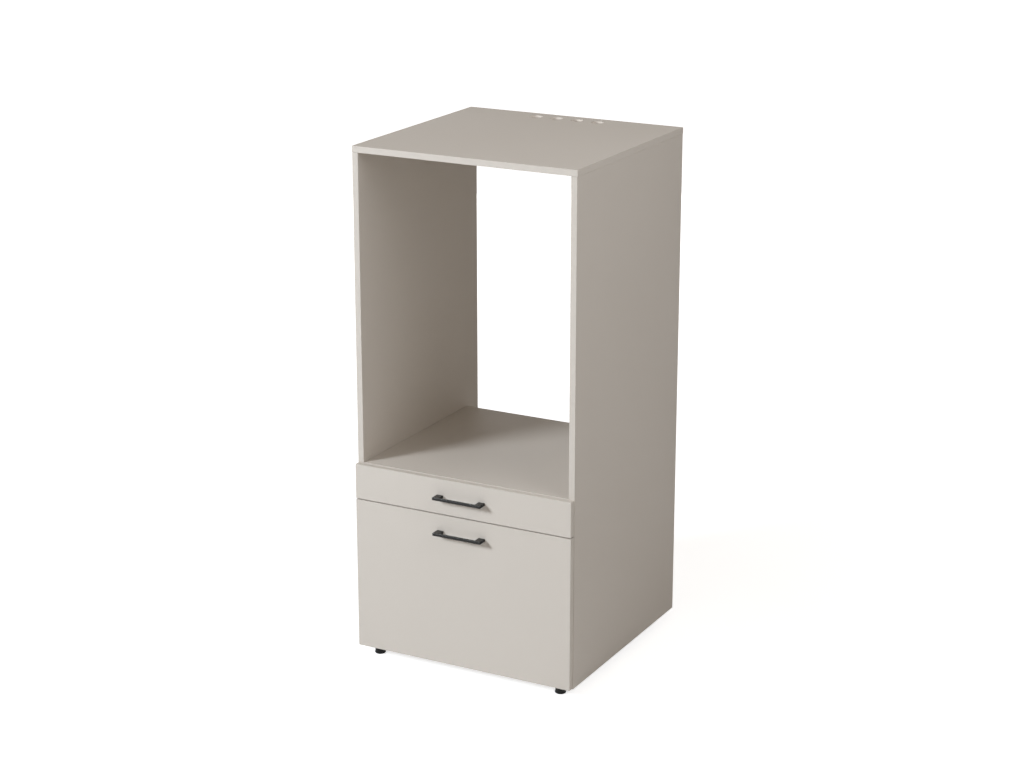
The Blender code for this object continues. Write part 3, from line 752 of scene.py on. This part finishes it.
def foot_base(radius):
    """The turned base of a foot, with its hexagonal collar."""
    neck = radius - 1.8 * MM
    height = COLLAR_TOP - COLLAR_TALL
    outline = [
        (0, 0),
        (radius - 2.2 * MM, 0),
        (radius - 0.6 * MM, 1.2 * MM),
        (radius, 2.2 * MM),
        (radius, FOOT_RIM_HEIGHT),
        (radius - FOOT_STEP, FOOT_RIM_HEIGHT + FOOT_STEP),
        (radius - 2 * FOOT_STEP, FOOT_RIM_HEIGHT + FOOT_STEP),
        (neck, height - 1.2 * MM),
        (neck - 1.2 * MM, height),
        (0, height),
    ]
    bm = turn(outline, TURNED_STEPS)
    soften(bm, 0.3 * MM, 2, math.radians(25))
    collar = bmesh.ops.create_cone(
        bm,
        cap_ends=True,
        segments=6,
        radius1=COLLAR_REACH,
        radius2=COLLAR_REACH,
        depth=COLLAR_TALL + FOOT_STEP,
        matrix=Matrix.Translation((0, 0, height + (COLLAR_TALL - FOOT_STEP) / 2)),
    )
    edges = {edge for vert in collar["verts"] for edge in vert.link_edges}
    soften(bm, 0.4 * MM, 2, chosen=lambda edge: edge in edges)
    return bm


def stud(low, high):
    """A threaded stud from one height to another: a core with a helical ridge round it."""
    bm = bmesh.new()
    length = high - low
    bmesh.ops.create_cone(
        bm,
        cap_ends=True,
        segments=THREAD_STEPS,
        radius1=STUD_ROOT,
        radius2=STUD_ROOT,
        depth=length,
        matrix=Matrix.Translation((0, 0, (low + high) / 2)),
    )
    turns = int(length / STUD_PITCH) - 1
    ridge = [
        (STUD_ROOT - 0.1 * MM, 0, low + 0.1 * MM),
        (STUD_CREST, 0, low + STUD_PITCH / 2),
        (STUD_ROOT - 0.1 * MM, 0, low + STUD_PITCH - 0.1 * MM),
    ]
    face = bm.faces.new([bm.verts.new(point) for point in ridge])
    bmesh.ops.spin(
        bm,
        geom=[face, *face.edges, *face.verts],
        cent=(0, 0, 0),
        axis=(0, 0, 1),
        dvec=(0, 0, STUD_PITCH / THREAD_STEPS),
        angle=2 * math.pi * turns,
        steps=THREAD_STEPS * turns,
    )
    bmesh.ops.recalc_face_normals(bm, faces=bm.faces)
    return bm


print("foot collar top", COLLAR_TOP / MM, "mm, thread pitch", STUD_PITCH / MM, "mm")

# %% [markdown]
# Each foot stands where its solid stands, so its axis and its heights are read from the solid's
# box. The plated stud is a piece of its own, because it has another finish, and both ride on the
# foot's body, which climbs and sinks as the foot is screwed. The insert that takes the stud is
# pressed into the bottom panel: a sleeve with a flange, turned as a ring, so that its outline
# ends where it began.

# %% Stand the feet
INSERT_BORE = 4.3 * MM
INSERT_WALL = 1.8 * MM
FLANGE_THICKNESS = 1.2 * MM


def insert_ring(radius, low, high):
    """A flanged sleeve, from the underside of its flange up to its end."""
    sleeve = INSERT_BORE + INSERT_WALL
    outline = [
        (INSERT_BORE, low),
        (radius, low),
        (radius, low + FLANGE_THICKNESS),
        (sleeve, low + FLANGE_THICKNESS),
        (sleeve, high),
        (INSERT_BORE, high),
        (INSERT_BORE, low),
    ]
    bm = turn(outline, TURNED_STEPS)
    soften(bm, 0.25 * MM, 2)
    return bm


FOOT_PLACES = ("front_left", "front_right", "rear_left", "rear_right")
for place in FOOT_PLACES:
    foot, insert = "foot_" + place, "insert_" + place
    low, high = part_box(foot)
    axis = ((low.x + high.x) / 2, (low.y + high.y) / 2, 0)
    made = {
        foot + "_base": (foot_base((high.x - low.x) / 2), MOULDED, foot, [foot]),
        foot + "_stud": (stud(COLLAR_TOP - MM, high.z), PLATED, foot, []),
    }
    low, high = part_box(insert)
    ring = insert_ring((high.x - low.x) / 2, low.z, high.z)
    made[insert + "_ring"] = (ring, PLATED, "carcass", [insert])
    for name, (bm, finish, body, stands_for) in made.items():
        bmesh.ops.translate(bm, vec=axis, verts=bm.verts)
        fit_out(name, bm, finish, body, stands_for)
print("feet", len(FOOT_PLACES), "each a base and a stud, in a ring")

# %% [markdown]
# A handle is a bridge: a flat bar whose ends turn back to the drawer front. It starts as a box
# for the bar, which is cut where the posts begin. The ends of its rear face are then drawn back
# to the front. Where post and bar meet, the corner is filled with a small curve, as on a cast
# part. All outer edges are rounded a little, and the feet that bear on the board stay sharp.

# %% Build the handles
HANDLE_BAR = 7.0 * MM
HANDLE_POST = 20.0 * MM
HANDLE_FILLET = 2.5 * MM
HANDLE_ROUNDING = 1.2 * MM


def bridge(length, reach, height):
    """A bar along X with two posts that reach back along +Y, its front face at zero."""
    bm = bmesh.new()
    bmesh.ops.create_cube(bm, size=1)
    bmesh.ops.scale(bm, vec=(length, HANDLE_BAR, height), verts=bm.verts)
    bmesh.ops.translate(bm, vec=(0, HANDLE_BAR / 2, 0), verts=bm.verts)
    inner = length / 2 - HANDLE_POST
    for x in (-inner, inner):
        everything = bm.verts[:] + bm.edges[:] + bm.faces[:]
        bmesh.ops.bisect_plane(bm, geom=everything, plane_co=(x, 0, 0), plane_no=(1, 0, 0))
    rear_ends = [
        face
        for face in bm.faces
        if face.normal.y > 0.9 and abs(face.calc_center_median().x) > inner
    ]
    drawn = bmesh.ops.extrude_face_region(bm, geom=rear_ends)
    bmesh.ops.translate(bm, vec=(0, reach - HANDLE_BAR, 0), verts=verts_of(drawn))
    hollow = [edge for edge in bm.edges if edge.calc_face_angle_signed(0) < -CREASE]
    bmesh.ops.bevel(
        bm,
        geom=hollow,
        offset=HANDLE_FILLET,
        segments=5,
        profile=0.5,
        affect="EDGES",
        material=-1,
    )

    def is_free(edge):
        return any(vert.co.y < reach - HANDLE_ROUNDING for vert in edge.verts)

    soften(bm, HANDLE_ROUNDING, 3, chosen=is_free)
    return bm


for level in ("upper", "lower"):
    node = level + "_drawer_handle"
    low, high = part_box(node)
    bm = bridge(high.x - low.x, high.y - low.y, high.z - low.z)
    place = ((low.x + high.x) / 2, low.y, (low.z + high.z) / 2)
    bmesh.ops.translate(bm, vec=place, verts=bm.verts)
    fit_out(level + "_handle_bridge", bm, COAT, level + "_drawer", [node])
print("handles 2, bar", HANDLE_BAR / MM, "mm, posts", HANDLE_POST / MM, "mm")

# %% [markdown]
# All screws are turned and then get a cross recess. The cutter for it is a small post with four
# arms drawn out from its sides, narrowed towards its tip, and the boolean takes it out of the
# head. A pan head is for screws that stand on a surface, and a countersunk one for those that
# must lie flush in a runner's steel.

# %% Make screws
RECESS_WIDTH = 0.9 * MM
RECESS_DEPTH = 1.3 * MM


def cross(reach, deep):
    """A cross-shaped cutter round the vertical, as deep below zero as it is tall above."""
    bm = bmesh.new()
    bmesh.ops.create_cube(bm, size=1)
    bmesh.ops.scale(bm, vec=(RECESS_WIDTH, RECESS_WIDTH, 2 * deep), verts=bm.verts)
    for side in [face for face in bm.faces if abs(face.normal.z) < 0.5]:
        outward = side.normal * (reach - RECESS_WIDTH / 2)
        drawn = bmesh.ops.extrude_face_region(bm, geom=[side])
        bmesh.ops.translate(bm, vec=outward, verts=verts_of(drawn))
    tip = [vert for vert in bm.verts if vert.co.z < 0]
    bmesh.ops.scale(bm, vec=(0.45, 0.45, 1), verts=tip)
    bmesh.ops.recalc_face_normals(bm, faces=bm.faces)
    return bm


def recessed(bm, top, reach, deep=RECESS_DEPTH):
    """Cuts the cross recess into a screw's head, whose top is at a height."""
    cutter = cross(reach, deep)
    bmesh.ops.translate(cutter, vec=(0, 0, top), verts=cutter.verts)
    return carve(bm, cutter)


def pan_screw(radius, head_radius, head_height, length, steps=32):
    """A screw that points down, with its head's underside at zero."""
    outline = [
        (0, -length),
        (0.6 * radius, -length),
        (radius, -length + 0.8 * radius),
        (radius, 0),
        (head_radius, 0),
        (head_radius, 0.45 * head_height),
        (0.93 * head_radius, 0.72 * head_height),
        (0.76 * head_radius, 0.91 * head_height),
        (0.52 * head_radius, head_height),
        (0, head_height),
    ]
    return recessed(turn(outline, steps), head_height, 0.55 * head_radius)


def flush_screw(radius, head_radius, sink, steps=32):
    """The countersunk head of a screw, from the foot of its cone up to its flat top at zero."""
    outline = [
        (0, -sink),
        (radius, -sink),
        (head_radius - 0.1 * MM, -0.2 * MM),
        (head_radius, 0),
        (0, 0),
    ]
    return recessed(turn(outline, steps), 0, 0.6 * head_radius, 0.8 * sink)


# %% [markdown]
# Each handle hangs on two M4 screws, put in from inside the drawer. The upper handle's go through
# the inner front as well. The lower handle sits above its drawer's box, so there the heads bear on
# the drawer front. Where they are, how wide and how long, comes from their solids.

# %% Screw the handles on
HANDLE_SCREW_RADIUS = 2.0 * MM
HANDLE_SCREW_HEAD = 2.4 * MM

for level in ("upper", "lower"):
    for side in ("left", "right"):
        node = f"{level}_handle_screw_{side}"
        low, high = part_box(node)
        head = HANDLE_SCREW_HEAD
        bm = pan_screw(HANDLE_SCREW_RADIUS, (high.x - low.x) / 2, head, high.y - low.y - head)
        aim(bm, (0, 1, 0))
        place = ((low.x + high.x) / 2, high.y - head, (low.z + high.z) / 2)
        bmesh.ops.translate(bm, vec=place, verts=bm.verts)
        fit_out(node + "_pan", bm, PLATED, level + "_drawer", [node])
print("handle screws 4")

# %% [markdown]
# A runner's parts are placed in its own frame: u runs from the carcass towards the drawer, y from
# front to back, and v up and down from its middle. The ball cages are strips folded into a
# channel. The strip is drawn as a bent line and extruded along the runner, its folds are rounded,
# and solidify gives it its thickness. Round pockets for the balls are then cut through both
# flanges. A pocket is a little wider than its ball and open at the edge by less than the ball's
# diameter, which is how a real cage lets the balls snap in and keeps them there.

# %% Fold the ball cages
CAGE_SHEET = 0.7 * MM
CAGE_LIP = 1.4 * MM  # of the flange past the balls' middle
CAGE_FOLD = 1.0 * MM
BALL_U = 8.1 * MM
BALLS_IN_ROW = 5
POCKET_PLAY = 0.25 * MM
CAGE_ROWS = {"outer": (1.5 * MM, 2.0 * MM), "inner": (4.0 * MM, 1.6 * MM)}  # web, ball radius


def runner_frame(level, side):
    """Turns a place of (u, y, v) in one runner into a place in the room."""
    low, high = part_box(f"{level}_runner_cabinet_member_{side}")
    hand = 1 if side == "right" else -1
    carcass_side = hand * max(abs(low.x), abs(high.x))
    middle = (low.z + high.z) / 2

    def place(u, y, v):
        return Vector((carcass_side - hand * u, y, middle + v))

    return place


def cage_strip(web, row_height, radius, length):
    """A channel of thin strip in (u, y, v) with pockets for two rows of balls, from y = 0."""
    bm = bmesh.new()
    half = CAGE_SHEET / 2
    edge = BALL_U + CAGE_LIP
    outer = row_height + half
    line = [(edge, outer), (web, outer), (web, -outer), (edge, -outer)]
    verts = [bm.verts.new((u, 0, v)) for u, v in line]
    edges = [bm.edges.new(pair) for pair in zip(verts, verts[1:])]
    drawn = bmesh.ops.extrude_edge_only(bm, edges=edges)
    bmesh.ops.translate(bm, vec=(0, length, 0), verts=verts_of(drawn))
    folds = [
        edge for edge in bm.edges if len(edge.link_faces) == 2 and edge.calc_face_angle() > CREASE
    ]
    bmesh.ops.bevel(
        bm,
        geom=folds,
        offset=CAGE_FOLD,
        segments=4,
        profile=0.5,
        affect="EDGES",
        material=-1,
    )
    bmesh.ops.recalc_face_normals(bm, faces=bm.faces)
    outward = sum(face.normal.x * face.calc_area() for face in bm.faces)
    if outward > 0:
        bmesh.ops.reverse_faces(bm, faces=bm.faces)
    bmesh.ops.solidify(bm, geom=bm.faces[:], thickness=CAGE_SHEET)
    cutter = bmesh.new()
    for number in range(BALLS_IN_ROW):
        for flange in (-1, 1):
            bmesh.ops.create_cone(
                cutter,
                cap_ends=True,
                segments=32,
                radius1=radius + POCKET_PLAY,
                radius2=radius + POCKET_PLAY,
                depth=4 * CAGE_SHEET,
                matrix=Matrix.Translation(
                    (BALL_U, (number + 0.5) * length / BALLS_IN_ROW, flange * row_height)
                ),
            )
    return carve(bm, cutter)


def ball_rows(row_height, radius, length):
    """The balls of a cage in (u, y, v): one row above and one below, evenly along it."""
    bm = bmesh.new()
    for number in range(BALLS_IN_ROW):
        for row in (-1, 1):
            bmesh.ops.create_uvsphere(
                bm,
                u_segments=16,
                v_segments=10,
                radius=radius,
                matrix=Matrix.Translation(
                    (BALL_U, (number + 0.5) * length / BALLS_IN_ROW, row * row_height)
                ),
            )
    return bm


def into_room(bm, place, start):
    """Moves a shape made in (u, y, v) into the room. start is where along the runner it begins."""
    for vert in bm.verts:
        vert.co = place(vert.co.x, start + vert.co.y, vert.co.z)
    bmesh.ops.recalc_face_normals(bm, faces=bm.faces)


for level in ("upper", "lower"):
    for side in ("left", "right"):
        place = runner_frame(level, side)
        for row, (web, radius) in CAGE_ROWS.items():
            node = f"{level}_runner_{row}_cage_{side}"
            low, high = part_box(node)
            row_height = (high.z - low.z) / 2 - radius
            strip = cage_strip(web, row_height, radius, high.y - low.y)
            rolling = ball_rows(row_height, radius, high.y - low.y)
            body = f"{level}_{row}_cages"
            for bm, kind, finish, stands_for in (
                (strip, "strip", CAGE, [node]),
                (rolling, "balls", POLISHED, []),
            ):
                into_room(bm, place, low.y)
                name = f"{level}_{row}_{kind}_{side}"
                fit_out(name, bm, finish, body, stands_for)
print("ball cages", 4 * len(CAGE_ROWS), "balls in each", 2 * BALLS_IN_ROW)

# %% [markdown]
# The runner's own fastenings show when a drawer is out. Flush screws hold the cabinet member to
# the side panel, sunk into its holes so that the inner parts pass over them. Pan screws hold the
# drawer member to the drawer's side. On each drawer member sits a plastic lever, which lifts the
# drawer off: a bar with a finger tab, tapered towards its tail, and grooved for grip.

# %% Fasten the runners
HOLE_INSET = 35.0 * MM
CABINET_SCREW_U = 1.15 * MM  # where the flush heads end
DRAWER_SCREW_U = 11.5 * MM  # where the pan heads begin
LEVER_FROM = 52.0 * MM
LEVER_LENGTH = 66.0 * MM
LEVER_LOW, LEVER_HIGH = 5.6 * MM, 11.2 * MM  # in u
LEVER_TALL = 10.0 * MM
NECK_FROM, NECK_TO = 0.30, 0.38  # shares of the length between which the lever narrows
GROOVES = 4
GROOVE_PITCH = 3.0 * MM


def lever():
    """A release lever in (u, y, v), from y = 0."""
    bm = bmesh.new()
    bmesh.ops.create_cube(bm, size=1)
    size = (LEVER_HIGH - LEVER_LOW, LEVER_LENGTH, LEVER_TALL)
    bmesh.ops.scale(bm, vec=size, verts=bm.verts)
    middle = ((LEVER_HIGH + LEVER_LOW) / 2, LEVER_LENGTH / 2, 0)
    bmesh.ops.translate(bm, vec=middle, verts=bm.verts)
    for share in (NECK_FROM, NECK_TO):
        everything = bm.verts[:] + bm.edges[:] + bm.faces[:]
        place = (0, share * LEVER_LENGTH, 0)
        bmesh.ops.bisect_plane(bm, geom=everything, plane_co=place, plane_no=(0, 1, 0))
    neck = (NECK_FROM + NECK_TO) / 2 * LEVER_LENGTH
    tail = [vert for vert in bm.verts if vert.co.y > neck]
    centre = Matrix.Translation((-LEVER_HIGH, 0, 0))
    bmesh.ops.scale(bm, vec=(0.55, 1, 0.6), space=centre, verts=tail)
    soften(bm, 0.8 * MM, 3, math.radians(20))
    grooves = bmesh.new()
    for number in range(GROOVES):
        bmesh.ops.create_cube(
            grooves,
            size=1,
            matrix=Matrix.Translation((LEVER_LOW, 4 * MM + number * GROOVE_PITCH, 0))
            @ Matrix.Diagonal((0.9 * MM, 1.1 * MM, 1.4 * LEVER_TALL, 1)),
        )
    return carve(bm, grooves)


for level in ("upper", "lower"):
    for side in ("left", "right"):
        place = runner_frame(level, side)
        inward = place(1, 0, 0) - place(0, 0, 0)
        drawer = level + "_drawer"
        for member, body, u in (
            ("cabinet", "carcass", CABINET_SCREW_U),
            ("drawer", drawer, DRAWER_SCREW_U),
        ):
            low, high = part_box(f"{level}_runner_{member}_member_{side}")
            first, last = low.y + HOLE_INSET, high.y - HOLE_INSET
            if member == "cabinet":
                bm = flush_screw(1.9 * MM, 3.1 * MM, CABINET_SCREW_U)
                aim(bm, inward)
            else:
                bm = pan_screw(1.7 * MM, 3.7 * MM, 1.6 * MM, 1.2 * MM)
                aim(bm, -inward)
            repeat(bm, [place(u, y, 0) for y in (first, (first + last) / 2, last)])
            fit_out(f"{level}_{member}_screws_{side}", bm, PLATED, body)
        bm = lever()
        drawer_member_low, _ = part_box(f"{level}_runner_drawer_member_{side}")
        into_room(bm, place, drawer_member_low.y + LEVER_FROM)
        fit_out(f"{level}_lever_{side}", bm, MOULDED, drawer)
print("runner screws", 4 * 2 * 3, "levers 4")

# %% [markdown]
# Pan screws also come through each inner front into the drawer front, to hold it on. Their heads
# show inside the drawer, on the far side of its front.

# %% Fix the drawer fronts
FRONT_SCREW_PLACES = {
    # Level: distance to each side of the middle, heights from the inner front's middle
    "upper": (200 * MM, (0,)),
    "lower": (230 * MM, (-90 * MM, 90 * MM)),
}

for level, (reach, rises) in FRONT_SCREW_PLACES.items():
    low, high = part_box(level + "_drawer_inner_front")
    middle = (low.z + high.z) / 2
    places = [(x, high.y, middle + rise) for x in (-reach, reach) for rise in rises]
    bm = pan_screw(1.9 * MM, 4.0 * MM, 2.2 * MM, 3 * MM)
    aim(bm, (0, 1, 0))
    repeat(bm, places)
    fit_out(level + "_front_screws", bm, PLATED, level + "_drawer")
print("front screws 6")

# %% [markdown]
# The shelf and the bottom panel hang on cam locks: a bolt in the side panel, and in the board's
# underside a disc that a quarter turn draws tight. Only the disc shows. It is a low turned plug
# with a chamfered rim and a larger cross recess, and it stands out by less than half a millimetre.

# %% Lock the boards
CAM_RADIUS = 7.5 * MM
CAM_PROUD = 0.4 * MM
CAM_FROM_SIDE = 34.0 * MM
CAM_INSETS = {
    # Board: from its front edge, from its back edge
    "washer_shelf": (40 * MM, 40 * MM),
    "bottom_panel": (110 * MM, 120 * MM),
}


def cam_disc():
    """A cam lock's disc, facing up, with its back at zero."""
    outline = [
        (0, 0),
        (CAM_RADIUS, 0),
        (CAM_RADIUS, CAM_PROUD / 2),
        (CAM_RADIUS - CAM_PROUD / 2, CAM_PROUD),
        (0, CAM_PROUD),
    ]
    return recessed(turn(outline, TURNED_STEPS), CAM_PROUD, 0.55 * CAM_RADIUS, 0.8 * CAM_PROUD)


for board, (front_inset, back_inset) in CAM_INSETS.items():
    low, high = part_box(board)
    ys = (low.y + front_inset, high.y - back_inset)
    bm = cam_disc()
    aim(bm, (0, 0, -1))
    xs = (low.x + CAM_FROM_SIDE, high.x - CAM_FROM_SIDE)
    repeat(bm, [(x, y, low.z) for x in xs for y in ys])
    fit_out(board + "_cams", bm, PLATED, "carcass")
print("cam discs 8, radius", CAM_RADIUS / MM, "mm")

# %% [markdown]
# The box of the dressed cabinet is printed.

# %% Finish the pass over the frame
low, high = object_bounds()
print("visual box", [round(size, 4) for size in high - low])
